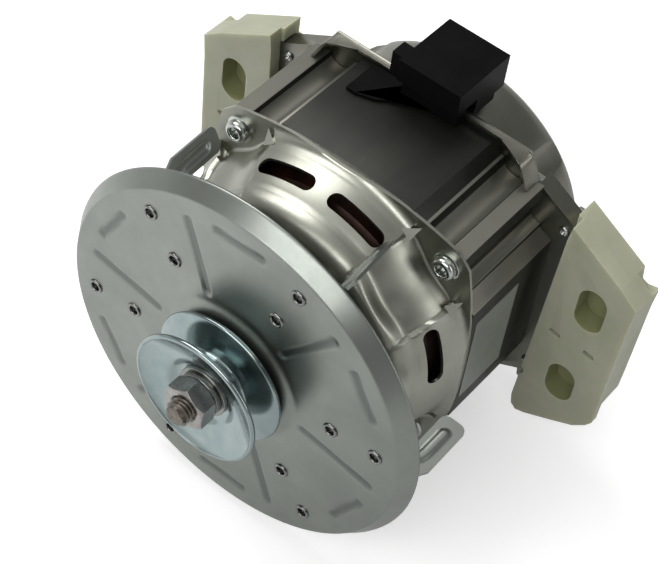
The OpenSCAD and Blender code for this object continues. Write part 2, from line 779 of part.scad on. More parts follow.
// Rear end cap: a flange with ears, lips and corner tabs, and a closed bowl with room for the bolt nuts.
module rear_end_cap() {
  f = rear_flange_y;
  end_y = f + rear_bowl_depth;
  hub_r = bearing_r + slip + hub_wall;
  t = cap_t;
  color([0.6, 0.59, 0.54]) difference() {
    union() {
      difference() {
        union() {
          plate(core_back_y, f) rear_flange_outline();
          rear_form(0);
        }
        rear_form(t);
      }
      four_ways() ear_lip();
      four_ways() corner_tab();
      plate(core_back_y - 2, core_back_y + 0.2) for (sz = [-1, 1])
        translate([-36, sz > 0 ? rear_half_h - t : -rear_half_h]) square([72, t]);
      ring(bearing_r + slip, hub_r, rear_bearing_y, end_y - 0.5);
    }
    bolt_holes(core_back_y - 1, f + 1);
    at_block_screws() bar(block_screw_r + 0.15, core_back_y - 1, f + 1);
    for (k = [0:3]) at_angle(45 + 90 * k) plate(end_y - 4, end_y + 1) rear_vent();
    translate([plug_x - 9, f + 2.4, 45]) cube([18, 9, plug_floor_z - 45]);
  }
}

// Rear bowl as one filled form, moved inwards by a wall, with flutes beside the bolt nuts.
module rear_form(wall) {
  end_y = rear_flange_y + rear_bowl_depth;
  w = wall;
  y0 = core_back_y - (w > 0 ? 1 : 0);
  difference() {
    turned([
      [0, y0], [rear_bowl_r - w, y0], [rear_bowl_r - w, core_back_y + 4], [rear_back_r - w, end_y - 7],
      [rear_back_r - 0.7 - 0.9 * w, end_y - 4], [rear_back_r - 2.6 - 0.7 * w, end_y - 1.6 - 0.3 * w],
      [rear_back_r - 6, end_y - w], [0, end_y - w]
    ]);
    at_bolts() bar(9.8 + w, rear_flange_y - (w > 0 ? 3 : 0), end_y + 1);
  }
}

// Curved slot in the back of the rear bowl.
module rear_vent() {
  intersection() {
    difference() {
      circle(r = rear_vent_r + rear_vent_w / 2);
      circle(r = rear_vent_r - rear_vent_w / 2);
    }
    polygon([[0, 0], [80, -36], [80, 36]]);
  }
}

// Outer edge of a mount block, from its top corner down past the lug, and the notch above the lug at the back.
block_outer = [[102.8, 28.4], [102, 18], [101, -22]];
block_notch = [[95.5, 28.2], [98.2, 27.2]];

// Lower edge of a mount block behind its front skin.
block_lower = [[100.6, -32.5], [94, -44], [83, -50.5], [72, -56]];

// Inner edge of a mount block behind the flange.
block_inner = [[62.4, -50], [60.8, -38], [60.8, 38], [62.4, 42], [68.6, 42]];

// Mount block on the +X side: a moulded pad that is slotted over the ear of the rear flange.
module mount_block() {
  y0 = block_y;
  y1 = core_back_y - 0.15;
  y2 = block_y + block_t;
  difference() {
    union() {
      plate(y0, y0 + 3.6) polygon(concat([[70.5, 49], [94.7, 34.5]], block_outer, [
        [100.6, -41], [98.4, -44.6], [93.4, -49.3], [83.5, -54.7], [72.5, -60.4], [68.6, -61.6],
        [66.2, -59.4], [65.4, -54.3], [69.6, 42]
      ]));
      plate(y0 + 3.5, core_back_y + 2 * gap) polygon(concat(
        [[70.5, 49], [94.7, 34.5]], block_outer, block_lower, [[66, -56], [65.4, -54.3], [69.6, 42]]
      ));
      plate(core_back_y + gap, y2 - block_notch_depth)
        polygon(concat([[68.6, 49.6], [94.7, 34.5]], block_outer, block_lower, block_inner));
      plate(y2 - block_notch_depth - 0.1, y2)
        polygon(concat([[68.6, 49.6], [94.7, 34.5]], block_notch, block_outer, block_lower, block_inner));
    }
    plate(y1, rear_flange_y + 0.15) polygon([
      [55, ear_z(55) + 0.3], [ear_x + 0.3, ear_z(ear_x) + 0.3], [ear_x + 0.3, -ear_z(ear_x) - 0.3],
      [55, -ear_z(55) - 0.3]
    ]);
    for (sz = [0, 1]) mirror([0, 0, sz]) plate(y1, rear_flange_y + lip_len + 0.4) polygon([
      [55, ear_z(55) + 0.4], [ear_x, ear_z(ear_x) + 0.4], [ear_x, ear_z(ear_x) - 2], [55, ear_z(55) - 2]
    ]);
    block_pocket(86.2, 15, block_pocket_len);
    block_pocket(83.2, -30.5, block_pocket_len - 2);
    for (p = [[75.4, -7], [90.7, -7.2]])
      plate(y0 - 1, y0 + 4) translate(p) rotate(-12) capsule(5.2, 2.4);
    for (sz = [-1, 1]) translate([block_screw_x, 0, sz * block_screw_z]) {
      bar(block_screw_r + slip, y0, y2 + 1);
      bar(block_screw_head_r + gap, y0 - 1, core_back_y + 0.1);
    }
  }
}

module block_pocket(x, z, len) {
  plate(block_y - 1, block_y + block_pocket_depth) translate([x, z]) rotate(90) capsule(len, block_pocket_w);
}

module right_mount_block() { color([0.85, 0.85, 0.76]) mount_block(); }
module left_mount_block() { color([0.85, 0.85, 0.76]) mirror([1, 0, 0]) mount_block(); }

// Places its children at the four block screws.
module at_block_screws() {
  for (sx = [-1, 1])
    for (sz = [-1, 1]) translate([sx * block_screw_x, 0, sz * block_screw_z]) children();
}

// Screws through the ears into the blocks.
module block_screws() {
  y0 = core_back_y;
  color([0.8, 0.8, 0.78]) at_block_screws() difference() {
    union() {
      turned([
        [0, y0 - 1.3], [block_screw_head_r - 1.2, y0 - 1.3], [block_screw_head_r - 0.2, y0 - 0.8],
        [block_screw_head_r, y0], [0, y0]
      ]);
      bar(block_screw_r, y0 - 0.5, block_y + block_t + 2.4);
    }
    bar(0.8, y0 - 2, y0 - 0.5);
  }
}

// Nuts at the back of the blocks.
module block_screw_nuts() {
  y0 = block_y + block_t;
  color([0.8, 0.8, 0.78]) at_block_screws() difference() {
    translate([0, y0, 0]) rotate([-90, 0, 0]) cylinder(h = 2.4, r = 3.1, $fn = 6);
    bar(block_screw_r + slip, y0 - 1, y0 + 4);
  }
}

// Plug housing: a box over the rear flange with a low front part and a socket that opens to the back.
module plug_housing() {
  x0 = plug_x - plug_w / 2;
  z1 = plug_floor_z + plug_h;
  rear_y = rear_flange_y + 0.6;
  color([0.12, 0.12, 0.12]) difference() {
    union() {
      translate([x0, plug_y, z1 - plug_front_h]) cube([plug_w, plug_len, plug_front_h]);
      translate([x0, rear_y, plug_floor_z]) cube([plug_w, plug_y + plug_len - rear_y, plug_h]);
      translate([x0 + 0.4, rear_y, plug_floor_z - plug_foot_h]) cube([plug_w - 0.8, 13, plug_foot_h + 1.2]);
      translate([x0 - 4.4, plug_y + 1.8, z1 - plug_front_h]) cube([5, 7, plug_front_h]);
    }
    translate([x0 + plug_wall, rear_y + plug_wall, plug_floor_z + plug_wall])
      cube([plug_w - 2 * plug_wall, plug_len, plug_h - 2 * plug_wall]);
    for (k = [0:pin_count - 1])
      translate([pin_x(k) - 0.6, rear_y + 3, plug_floor_z - 10]) cube([1.2, 3.2, 14]);
  }
}

// Place of a contact pin along X.
function pin_x(k) = plug_x - 8.2 + k * 16.4 / (pin_count - 1);

// Base of the plug housing: an insulating plate on top of the core and a neck under the housing.
module plug_base() {
  x0 = plug_x - plug_w / 2;
  z0 = core_half_w + 0.1;
  color([0.08, 0.09, 0.09]) union() {
    translate([0, 0, z0]) linear_extrude(height = 1.3) polygon([
      [x0 - 15.3, core_back_y - 2.4], [x0 - 15.2, plug_y - 8.4], [x0 - 11, plug_y - 8.6],
      [x0 - 3.6, plug_y - 6.2], [x0 + 7.5, plug_y + 2.6], [x0 + plug_w - 2, plug_y + 4.8],
      [x0 + plug_w - 1, core_back_y - 2.4]
    ]);
    translate([x0 + 1, plug_y + 3.4, z0 + 1]) cube([plug_w - 2.4, 4.8, plug_floor_z + plug_h - plug_front_h - z0 - 1]);
  }
}

// Contact pins: flat blades in the socket with legs that reach down to the winding.
module contact_pins() {
  y0 = rear_flange_y + 3.9;
  z0 = slot_out_r + 3.4;
  z1 = plug_floor_z + plug_h / 2;
  color([0.82, 0.78, 0.6])
    for (k = [0:pin_count - 1]) union() {
      translate([pin_x(k) - 0.4, y0, z0]) cube([0.8, 2.4, z1 - z0]);
      translate([pin_x(k) - 0.4, y0, z1 - 2.4]) cube([0.8, 11, 2.4]);
    }
}

// Thermal cut-out on the rear winding head.
module thermal_protector() {
  color([0.2, 0.2, 0.22])
    translate([-9, core_back_y + winding_len + gap, slot_out_r - 10]) cube([14, 4, 7]);
}

// Blank plate on the right side of the core.
module rating_plate() {
  color([0.86, 0.86, 0.84]) translate([core_half_w, core_front_y + 4, -label_h / 2])
    cube([label_t, label_len, label_h]);
}

front_end_cap();
rear_end_cap();
stator_core();
stator_winding();
through_bolts();
bolt_nuts();
front_bearing_outer_race();
front_bearing_inner_race();
front_bearing_balls();
front_bearing_cage();
rear_bearing_outer_race();
rear_bearing_inner_race();
rear_bearing_balls();
rear_bearing_cage();
wave_washer();
shaft();
rotor_core();
front_end_ring();
rear_end_ring();
spacer_sleeve();
fan_disc();
fan_blades();
blade_rivets();
pulley_rear_half();
pulley_front_half();
flat_washer();
spring_washer();
shaft_nut();
left_mount_block();
right_mount_block();
block_screws();
block_screw_nuts();
plug_housing();
plug_base();
contact_pins();
thermal_protector();
rating_plate();
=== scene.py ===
# Looks of a washing machine drive motor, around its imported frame.
# Lengths are written in millimetres and turned into metres where a mesh is made.
# The shaft runs along Y and its pulley end points to -Y. The plug housing is on top, at +Z.
import json
import math

import bmesh
import bpy
from mathutils import Matrix, Vector

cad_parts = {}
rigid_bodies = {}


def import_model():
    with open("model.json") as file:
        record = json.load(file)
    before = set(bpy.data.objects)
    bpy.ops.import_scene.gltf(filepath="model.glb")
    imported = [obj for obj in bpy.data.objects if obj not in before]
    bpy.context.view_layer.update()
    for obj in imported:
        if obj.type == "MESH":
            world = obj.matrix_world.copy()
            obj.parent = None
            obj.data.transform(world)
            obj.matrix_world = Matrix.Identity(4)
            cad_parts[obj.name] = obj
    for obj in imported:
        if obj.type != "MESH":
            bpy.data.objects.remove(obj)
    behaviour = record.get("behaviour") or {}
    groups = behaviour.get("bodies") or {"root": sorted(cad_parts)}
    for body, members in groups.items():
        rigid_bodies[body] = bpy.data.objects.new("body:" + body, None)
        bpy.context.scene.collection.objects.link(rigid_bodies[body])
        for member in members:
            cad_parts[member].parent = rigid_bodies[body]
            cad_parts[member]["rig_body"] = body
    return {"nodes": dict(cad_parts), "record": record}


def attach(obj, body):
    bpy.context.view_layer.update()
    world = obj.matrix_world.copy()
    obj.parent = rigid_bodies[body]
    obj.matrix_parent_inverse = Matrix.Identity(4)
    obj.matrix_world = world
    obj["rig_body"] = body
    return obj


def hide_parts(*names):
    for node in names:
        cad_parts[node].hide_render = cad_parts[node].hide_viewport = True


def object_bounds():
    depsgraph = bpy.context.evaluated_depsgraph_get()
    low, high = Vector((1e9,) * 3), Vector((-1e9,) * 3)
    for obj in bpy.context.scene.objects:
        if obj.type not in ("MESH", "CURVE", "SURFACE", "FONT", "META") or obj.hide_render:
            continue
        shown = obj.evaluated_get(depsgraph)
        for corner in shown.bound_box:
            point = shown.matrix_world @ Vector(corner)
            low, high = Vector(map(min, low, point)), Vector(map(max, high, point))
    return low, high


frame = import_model()
cad_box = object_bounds()
nodes = frame["nodes"]

MM = 0.001
AXLE = (0, 1, 0)

# Pulley, fan and shaft, as in the frame
SEAT_BORE_R = 6.05
FAN_FACE_Y = 11.8
FAN_SHEET = 1.2
FAN_R = 80.0
FAN_FLAT_R = 73.6
FAN_RIM_DEPTH = 7.1
FAN_BOSS_R = 30.0
FAN_SEAT_R = 12.6
FAN_HUB_Y = 1.1
BLADE_SHEET = 1.2
BLADES = 6
BLADE_ANGLE = 7.3
RIVET_RADII = (46.3, 65.8)
RIVET_HOLE_R = 2.3
THREAD_R = 5.0
THREAD_PITCH = 1.5
THREAD_DEPTH = 1.0
THREAD_TIP_Y = -17.8
THREAD_END_Y = -4.0
BOLT_XZ = 47.2
BOLT_PLACES = [(sx * BOLT_XZ, sz * BOLT_XZ) for sx in (-1, 1) for sz in (-1, 1)]
BOLT_END_Y = 125.3
CORE_HALF_H = 61.2
CORE_CORNER_FROM = 30.0
BLOCK_FRONT_Y = 112.5
POCKET_END_R = 6.0
POCKET_DEPTH = 9.5
# Distance from mid side, height and half length of each pocket
BLOCK_POCKETS = ((86.2, 15.0, 10.5), (83.2, -30.5, 9.5))


def point(angle, r, y):
    """A point at an angle in degrees round the shaft, from +X towards +Z, in metres."""
    a = math.radians(angle)
    return Vector((r * math.cos(a), y, r * math.sin(a))) * MM


def finished(name, bm, material, smooth_angle=35, smooth=True):
    """Turns a bmesh into an object with smooth faces and sharp edges past an angle."""
    mesh = bpy.data.meshes.new(name)
    bm.to_mesh(mesh)
    bm.free()
    if smooth:
        mesh.shade_smooth()
        mesh.set_sharp_from_angle(angle=math.radians(smooth_angle))
    obj = bpy.data.objects.new(name, mesh)
    bpy.context.scene.collection.objects.link(obj)
    obj.data.materials.append(material)
    return obj


def stands_for(obj, slot, *names):
    """The piece takes the place of CAD nodes and moves with their body."""
    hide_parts(*names)
    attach(obj, nodes[names[0]]["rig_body"])
    return obj


def rounded_edges(obj, width, segments=2, angle=32):
    """Breaks the sharp edges of a piece with a small bevel."""
    bevel = obj.modifiers.new("edge", "BEVEL")
    bevel.width = width * MM
    bevel.segments = segments
    bevel.limit_method = "ANGLE"
    bevel.angle_limit = math.radians(angle)
    bevel.harden_normals = False
    return obj


def merged_copy(node, material, smooth_angle=32):
    """A copy of a CAD node with its loose triangles joined, so that its edges can be rounded."""
    bm = bmesh.new()
    bm.from_mesh(nodes[node].data)
    bmesh.ops.remove_doubles(bm, verts=bm.verts, dist=0.002 * MM)
    bmesh.ops.dissolve_degenerate(bm, dist=0.002 * MM, edges=bm.edges)
    flat = math.radians(0.3)
    bmesh.ops.dissolve_limit(bm, angle_limit=flat, verts=bm.verts, edges=bm.edges)
    return finished("fine_" + node, bm, material, smooth_angle)


def arc(r, y, radius, start, end, steps):
    """Points (r, y) along an arc, with angles in degrees from +r towards +y."""
    found = []
    for k in range(steps + 1):
        a = math.radians(start + (end - start) * k / steps)
        found.append((r + radius * math.cos(a), y + radius * math.sin(a)))
    return found


def spun(outline, steps=128, closed=True):
    """A bmesh from an outline of (r, y) points spun round the shaft."""
    bm = bmesh.new()
    verts = [bm.verts.new((r * MM, y * MM, 0)) for r, y in outline]
    pairs = list(zip(verts, verts[1:]))
    if closed:
        pairs.append((verts[-1], verts[0]))
    edges = [bm.edges.new(pair) for pair in pairs]
    bmesh.ops.spin(
        bm, geom=verts + edges, cent=(0, 0, 0), axis=AXLE, dvec=(0, 0, 0), angle=2 * math.pi,
        steps=steps, use_merge=True, use_normal_flip=False, use_duplicate=False,
    )
    bmesh.ops.remove_doubles(bm, verts=bm.verts, dist=0.001 * MM)
    bmesh.ops.recalc_face_normals(bm, faces=bm.faces)
    return bm


def drill(x, z, radius, low, high):
    """A round cutter along Y at a place in X and Z."""
    bm = spun([(0.01, low), (radius, low), (radius, high), (0.01, high)], steps=32)
    bmesh.ops.translate(bm, verts=bm.verts, vec=(x * MM, 0, z * MM))
    return bm


def join_into(whole, bm):
    """Adds a bmesh to another and frees it."""
    mesh = bpy.data.meshes.new("part")
    bm.to_mesh(mesh)
    bm.free()
    whole.from_mesh(mesh)
    bpy.data.meshes.remove(mesh)


def eased(u):
    """0 below 0, 1 above 1 and a soft slope between them."""
    u = max(0.0, min(1.0, u))
    return u * u * (3 - 2 * u)


# Materials

def new_group(name, inputs, outputs):
    """An empty shader node group with named sockets, given as (name, kind, value)."""
    group = bpy.data.node_groups.new(name, "ShaderNodeTree")
    for label, kind, value in inputs:
        socket = group.interface.new_socket(label, in_out="INPUT", socket_type=kind)
        if value is not None:
            socket.default_value = value
    for label, kind in outputs:
        group.interface.new_socket(label, in_out="OUTPUT", socket_type=kind)
    return group, group.nodes.new("NodeGroupInput"), group.nodes.new("NodeGroupOutput")


def add(tree, kind, values=None, **settings):
    """Adds a node, with settings and input values by socket name or number."""
    made = tree.nodes.new(kind)
    for key, value in settings.items():
        setattr(made, key, value)
    for key, value in (values or {}).items():
        made.inputs[key].default_value = value
    return made


def build_wear_group():
    """Blotches and fine grain: a colour mask, a roughness value and a normal."""
    group, entry, out = new_group(
        "surface_wear",
        [("Vector", "NodeSocketVector", None), ("Blotch Scale", "NodeSocketFloat", 60.0),
         ("Grain Scale", "NodeSocketFloat", 900.0), ("Rough Low", "NodeSocketFloat", 0.25),
         ("Rough High", "NodeSocketFloat", 0.4), ("Bump", "NodeSocketFloat", 0.05)],
        [("Mask", "NodeSocketFloat"), ("Roughness", "NodeSocketFloat"), ("Normal", "NodeSocketVector")],
    )
    blotch = add(group, "ShaderNodeTexNoise", {"Detail": 5.0, "Roughness": 0.6})
    grain = add(group, "ShaderNodeTexNoise", {"Detail": 3.0, "Roughness": 0.6})
    spread = add(group, "ShaderNodeMapRange", {1: 0.32, 2: 0.68, 3: 0.0, 4: 1.0})
    both = add(group, "ShaderNodeMix", {0: 0.45}, data_type="FLOAT")
    level = add(group, "ShaderNodeMapRange", {1: 0.3, 2: 0.7})
    bump = add(group, "ShaderNodeBump", {"Distance": 0.0002})
    link = group.links.new
    for noise, scale in ((blotch, "Blotch Scale"), (grain, "Grain Scale")):
        link(entry.outputs["Vector"], noise.inputs["Vector"])
        link(entry.outputs[scale], noise.inputs["Scale"])
    link(blotch.outputs[0], spread.inputs[0])
    link(blotch.outputs[0], both.inputs[2])
    link(grain.outputs[0], both.inputs[3])
    link(both.outputs[0], level.inputs[0])
    link(entry.outputs["Rough Low"], level.inputs[3])
    link(entry.outputs["Rough High"], level.inputs[4])
    link(grain.outputs[0], bump.inputs["Height"])
    link(entry.outputs["Bump"], bump.inputs["Strength"])
    link(spread.outputs[0], out.inputs["Mask"])
    link(level.outputs[0], out.inputs["Roughness"])
    link(bump.outputs[0], out.inputs["Normal"])
    return group


WEAR = build_wear_group()


def surface(name, color, second, rough, metallic=1.0, blotch=60.0, grain=900.0, bump=0.05,
            stretch=(1, 1, 1), **shader):
    """A material of two mottled colours with worn roughness. Returns it with its tree and its parts."""
    material = bpy.data.materials.new(name)
    material.use_nodes = True
    tree = material.node_tree
    bsdf = tree.nodes["Principled BSDF"]
    bsdf.inputs["Metallic"].default_value = metallic
    for key, value in shader.items():
        bsdf.inputs[key.replace("_", " ")].default_value = value
    place = add(tree, "ShaderNodeTexCoord")
    mapping = add(tree, "ShaderNodeMapping", {"Scale": stretch})
    wear = add(tree, "ShaderNodeGroup", node_tree=WEAR)
    wear.inputs["Blotch Scale"].default_value = blotch
    wear.inputs["Grain Scale"].default_value = grain
    wear.inputs["Rough Low"].default_value = rough[0]
    wear.inputs["Rough High"].default_value = rough[1]
    wear.inputs["Bump"].default_value = bump
    mix = add(tree, "ShaderNodeMix", {6: (*color, 1), 7: (*second, 1)}, data_type="RGBA")
    tree.links.new(place.outputs["Object"], mapping.inputs["Vector"])
    tree.links.new(mapping.outputs[0], wear.inputs["Vector"])
    tree.links.new(wear.outputs["Mask"], mix.inputs[0])
    tree.links.new(mix.outputs[2], bsdf.inputs["Base Color"])
    tree.links.new(wear.outputs["Roughness"], bsdf.inputs["Roughness"])
    tree.links.new(wear.outputs["Normal"], bsdf.inputs["Normal"])
    return material, tree, bsdf, wear, mix


def plain(name, *args, **kwargs):
    """The same, when only the material is wanted."""
    return surface(name, *args, **kwargs)[0]


def tinted_where(material_parts, attribute, color):
    """Turns a material towards a second colour where a mesh attribute is 1."""
    material, tree, bsdf, _, mix = material_parts
    mark = add(tree, "ShaderNodeAttribute", attribute_name=attribute)
    tint = add(tree, "ShaderNodeMix", {7: (*color, 1)}, data_type="RGBA")
    tree.links.new(mark.outputs["Fac"], tint.inputs[0])
    tree.links.new(mix.outputs[2], tint.inputs[6])
    tree.links.new(tint.outputs[2], bsdf.inputs["Base Color"])
    return material


def lamination_steel():
    """Varnished sheet stack: fine lines across the shaft, and a lighter tone on the corner ledges that
    face up and down, which is a painted highlight.
    """
    parts = surface(
        "lamination_steel", (0.037, 0.037, 0.032), (0.022, 0.023, 0.021), (0.32, 0.46), metallic=0.75,
        blotch=45.0, grain=700.0, bump=0.1, stretch=(1, 0.22, 1),
    )
    _, tree, bsdf, wear, _ = parts
    place = add(tree, "ShaderNodeTexCoord")
    lines = add(tree, "ShaderNodeTexWave", {"Scale": 300.0, "Distortion": 0.6, "Detail": 2.0},
                wave_type="BANDS", bands_direction="Y")
    bump = add(tree, "ShaderNodeBump", {"Strength": 0.08, "Distance": 0.0002})
    tree.links.new(place.outputs["Object"], lines.inputs["Vector"])
    tree.links.new(lines.outputs[0], bump.inputs["Height"])
    tree.links.new(wear.outputs["Normal"], bump.inputs["Normal"])
    tree.links.new(bump.outputs[0], bsdf.inputs["Normal"])
    # The corner ledges get a lighter colour: a painted highlight for the light they catch.
    return tinted_where(parts, "lit_ledge", (0.20, 0.20, 0.17))


def ivory_plastic():
    """Slightly translucent moulded plastic, painted darker and yellower inside its pockets as their
    shade.
    """
    parts = surface(
        "ivory_plastic", (0.45, 0.457, 0.345), (0.375, 0.388, 0.28), (0.36, 0.5), metallic=0.0,
        blotch=45.0, grain=500.0, bump=0.06,
    )
    bsdf = parts[2]
    bsdf.inputs["Subsurface Weight"].default_value = 0.6
    bsdf.inputs["Subsurface Radius"].default_value = (1.0, 0.95, 0.6)
    bsdf.inputs["Subsurface Scale"].default_value = 0.006
    # A darker, yellower colour inside the pockets: painted shade.
    return tinted_where(parts, "pocket", (0.27, 0.28, 0.145))


cap_steel = plain("cap_steel", (0.40, 0.405, 0.35), (0.31, 0.315, 0.27), (0.30, 0.40), blotch=45.0,
                  grain=1500.0, bump=0.03, stretch=(1, 0.25, 1))
rear_cap_steel = plain("rear_cap_steel", (0.275, 0.275, 0.235), (0.21, 0.21, 0.18), (0.28, 0.40),
                       blotch=50.0)
stack_steel = lamination_steel()
# Nearly black, darker than varnished copper: painted shade for the windings seen through the vents.
copper = plain("copper_winding", (0.055, 0.018, 0.009), (0.012, 0.007, 0.005), (0.3, 0.45),
               metallic=0.6, blotch=160.0)
zinc_bolt = tinted_where(
    surface("zinc_bolt", (0.58, 0.60, 0.57), (0.44, 0.46, 0.44), (0.14, 0.26), blotch=300.0),
    "dull", (0.25, 0.255, 0.24),
)
bearing_steel = plain("bearing_steel", (0.62, 0.63, 0.65), (0.5, 0.51, 0.53), (0.1, 0.2), blotch=200.0)
cage_brass = plain("cage_brass", (0.72, 0.54, 0.26), (0.55, 0.4, 0.18), (0.25, 0.38), blotch=200.0)
shaft_steel = plain("shaft_steel", (0.22, 0.20, 0.175), (0.11, 0.09, 0.075), (0.26, 0.44),
                    blotch=350.0, bump=0.12)
rotor_aluminium = plain("rotor_aluminium", (0.70, 0.71, 0.72), (0.56, 0.57, 0.58), (0.35, 0.55),
                        bump=0.2)
fan_sheet = tinted_where(
    surface("fan_sheet", (0.30, 0.32, 0.292), (0.25, 0.268, 0.246), (0.28, 0.40), blotch=38.0,
            grain=1300.0, bump=0.05),
    "bead", (0.165, 0.18, 0.165),
)
pulley_zinc = plain("pulley_zinc", (0.35, 0.41, 0.405), (0.27, 0.335, 0.345), (0.16, 0.18),
                    blotch=120.0, bump=0.0)
nut_steel = plain("nut_steel", (0.38, 0.365, 0.35), (0.27, 0.26, 0.25), (0.22, 0.38), blotch=250.0,
                  bump=0.1)
ivory = ivory_plastic()
black_plastic = plain("black_plastic", (0.0028, 0.0029, 0.003), (0.0052, 0.0052, 0.0056), (0.34, 0.48),
                      metallic=0.0, blotch=60.0, grain=900.0, bump=0.1, Specular_IOR_Level=0.06)
contact_brass = plain("contact_brass", (0.78, 0.66, 0.38), (0.6, 0.5, 0.28), (0.2, 0.32), blotch=300.0)
# Mid grey, darker than the plate's own light grey: painted shade on the plate, which lies on the shaded
# side.
plate_foil = plain("plate_foil", (0.28, 0.29, 0.27), (0.235, 0.245, 0.23), (0.34, 0.44), metallic=0.3,
                   blotch=60.0)

SLOT_MATERIALS = {
    "cap_steel": cap_steel, "rear_cap_steel": rear_cap_steel, "lamination_steel": stack_steel,
    "copper_winding": copper, "zinc_bolt": zinc_bolt, "bearing_steel": bearing_steel,
    "cage_brass": cage_brass, "shaft_steel": shaft_steel, "rotor_aluminium": rotor_aluminium,
    "fan_sheet": fan_sheet, "pulley_zinc": pulley_zinc, "nut_steel": nut_steel, "ivory_plastic": ivory,
    "black_plastic": black_plastic, "contact_brass": contact_brass, "plate_foil": plate_foil,
}
NODE_SLOTS = {part["node"]: part["material_slot"] for part in frame["record"]["subparts"]}
for node_name, node_object in nodes.items():
    node_object.data.materials.clear()
    node_object.data.materials.append(SLOT_MATERIALS[NODE_SLOTS[node_name]])


def dress(node, edge, segments=2, smooth_angle=32):
    """Replaces a CAD node with its merged copy in its own material, smooth and with broken edges."""
    slot = NODE_SLOTS[node]
    obj = merged_copy(node, SLOT_MATERIALS[slot], smooth_angle)
    rounded_edges(obj, edge, segments)
    return stands_for(obj, slot, node)


# Fan disc

# Each pressed bead: radius of its middle, angle, length, width and whether it lies across the radius
BEADS = ((50.5, -9.0, 35.0, 4.2, False), (66.0, 31.0, 24.0, 4.2, True))
BEAD_DEPTH = 0.6
BEAD_SLOPE = 0.45
BEAD_REACH = 74.0


def bead_share(x, z):
    """How far the disc is pressed at a place in X and Z, from 0 beside a bead to 1 in its middle."""
    share = 0.0
    for k in range(BLADES):
        for centre, angle, length, width, across in BEADS:
            a = math.radians(angle + k * 360 / BLADES)
            along = x * math.cos(a) + z * math.sin(a) - centre
            aside = -x * math.sin(a) + z * math.cos(a)
            if across:
                along, aside = aside, along
            out = max(abs(along) - (length - width) / 2, 0.0)
            inward = 1 - math.hypot(out, aside) / (width / 2)
            share = max(share, eased(inward / BEAD_SLOPE))
    return share


def rivet_places():
    """Angle and radius of every rivet."""
    return [(BLADE_ANGLE + k * 360 / BLADES, r) for k in range(BLADES) for r in RIVET_RADII]


def fan_disc():
    """Pressed sheet: raised middle, beads, rivet holes and a rim bent back."""
    face = FAN_FACE_Y
    flat_in_r = FAN_BOSS_R + 0.6
    rows = 38
    front = [(SEAT_BORE_R, FAN_HUB_Y), (FAN_SEAT_R - 0.5, FAN_HUB_Y)]
    front += [(FAN_SEAT_R + 0.1, FAN_HUB_Y + 0.6), (FAN_SEAT_R + 0.4, 4.6), (FAN_SEAT_R + 1.0, 5.2)]
    front += [(FAN_BOSS_R - 1.6, face - 0.68), (FAN_BOSS_R - 0.6, face - 0.22)]
    front += [(flat_in_r + (FAN_FLAT_R - flat_in_r) * k / rows, face) for k in range(rows + 1)]
    front += [(74.9, face), (75.25, face + 0.06), (75.55, face + 0.3), (75.8, face + 0.65)]
    front += [(76.6, face + 1.75), (78.6, face + 4.5), (79.3, face + 5.4)]
    front += [(79.75, face + 6.0), (FAN_R, face + FAN_RIM_DEPTH - 0.4)]
    bm = spun(front, steps=420, closed=False)
    # Points within the first radius of a rivet go, and those within the second move to the hole's edge
    hole_middle_r, hole_catch_r = 1.7, 2.6
    doomed = []
    for vert in bm.verts:
        x, z = vert.co.x / MM, vert.co.z / MM
        if FAN_BOSS_R < math.hypot(x, z) < BEAD_REACH:
            vert.co.y += BEAD_DEPTH * bead_share(x, z) * MM
        for angle, radius in rivet_places():
            centre = point(angle, radius, 0)
            away = Vector((vert.co.x, 0, vert.co.z)) - centre
            if away.length < hole_middle_r * MM:
                doomed.append(vert)
            elif away.length < hole_catch_r * MM:
                place = centre + away.normalized() * RIVET_HOLE_R * MM
                vert.co.x, vert.co.z = place.x, place.z
    bmesh.ops.delete(bm, geom=doomed, context="VERTS")
    towards_back = sum((f.normal.y * f.calc_area() for f in bm.faces), 0.0)
    if towards_back > 0:
        bmesh.ops.reverse_faces(bm, faces=bm.faces)
    mark = bm.verts.layers.float.new("bead")
    for vert in bm.verts:
        x, z = vert.co.x / MM, vert.co.z / MM
        if FAN_BOSS_R < math.hypot(x, z) < BEAD_REACH:
            vert[mark] = bead_share(x, z)
    obj = finished("fan_disc_sheet", bm, fan_sheet, 50)
    sheet = obj.modifiers.new("sheet", "SOLIDIFY")
    sheet.thickness = FAN_SHEET * MM
    sheet.offset = -1
    return stands_for(obj, "fan_sheet", "fan_disc")


def blade_rivets():
    """Tubular rivets with rolled heads on both sides of the sheets."""
    joined = bmesh.new()
    front = FAN_FACE_Y
    back = front + FAN_SHEET + BLADE_SHEET
    outline = arc(2.45, front - 0.15, 0.62, 200, 360, 8)
    outline += [(3.1, front - 0.02), (2.25, front), (2.25, back), (3.0, back)]
    outline += arc(2.5, back + 0.25, 0.5, 0, 150, 6) + [(1.85, back + 0.1)]
    for angle, radius in rivet_places():
        bm = spun(outline, steps=36)
        bmesh.ops.translate(bm, verts=bm.verts, vec=point(angle, radius, 0))
        join_into(joined, bm)
    mark = joined.verts.layers.float.new("dull")
    for vert in joined.verts:
        vert[mark] = 1.0
    return stands_for(finished("rolled_rivets", joined, zinc_bolt, 50), "zinc_bolt", "blade_rivets")


